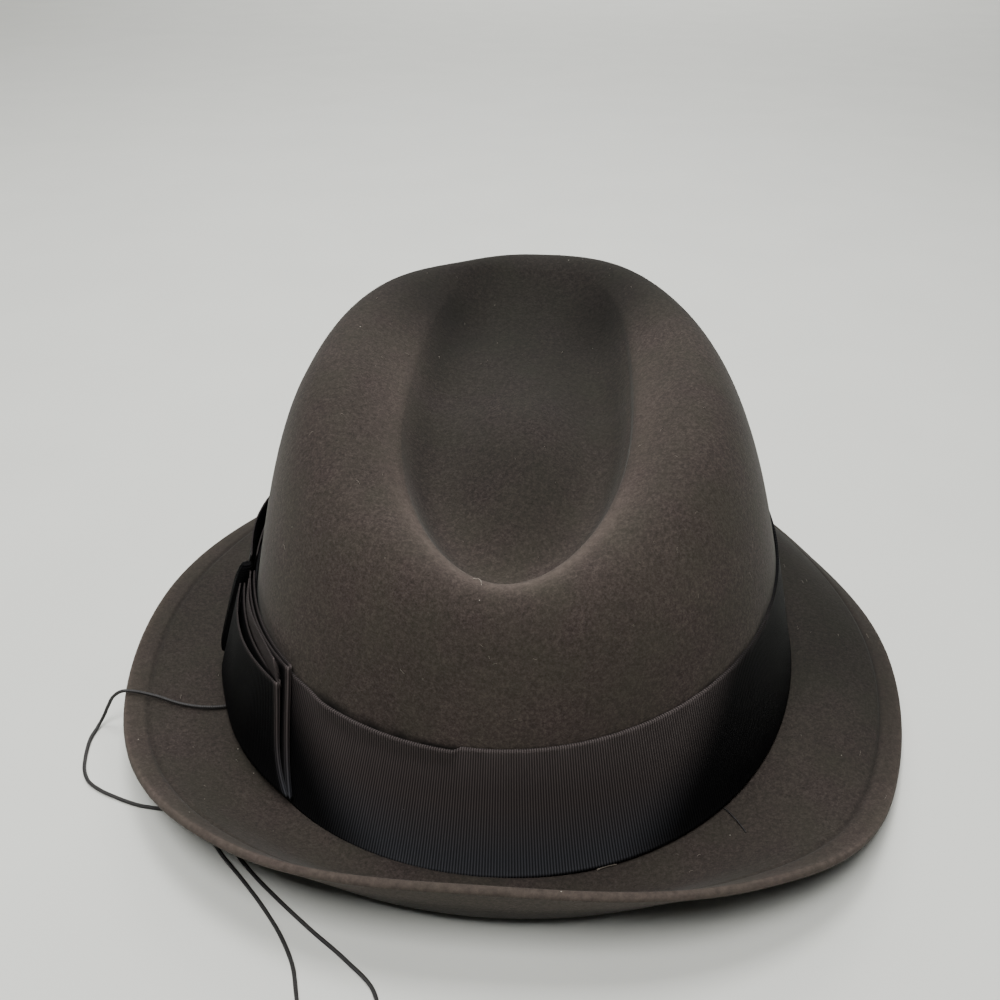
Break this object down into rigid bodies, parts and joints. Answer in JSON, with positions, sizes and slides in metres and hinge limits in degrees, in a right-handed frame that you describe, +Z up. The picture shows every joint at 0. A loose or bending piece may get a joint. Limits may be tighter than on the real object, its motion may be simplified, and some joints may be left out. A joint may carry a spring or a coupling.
{
  "type": "felt fedora hat",
  "caption": "Felt fedora with a teardrop dent, a snapped front brim, a turned-up rear brim, a ribbon with a flat bow and a loose wind cord.",
  "frame": {"origin": "on the surface the hat rests on, under the middle of the hat without its loose cord", "axes": "+Z up, +Y towards the rear of the hat, +X towards the wearer's left, where the bow is"},
  "size_m": [0.2451, 0.2835, 0.1085],
  "materials": {
    "felt": "dark grey-brown fur felt with a short matt nap",
    "ribbon": "near-black grosgrain with fine upright ribs",
    "cord": "thin black braided cord"
  },
  "bodies": {
    "root": {"felt_body": "felt", "ribbon_band": "ribbon", "bow_loop_lower": "ribbon", "bow_loop_upper": "ribbon", "bow_loop_front": "ribbon", "bow_tail": "ribbon", "bow_knot": "ribbon", "wind_cord": "cord", "cord_knot": "cord"}
  },
  "joints": []
}
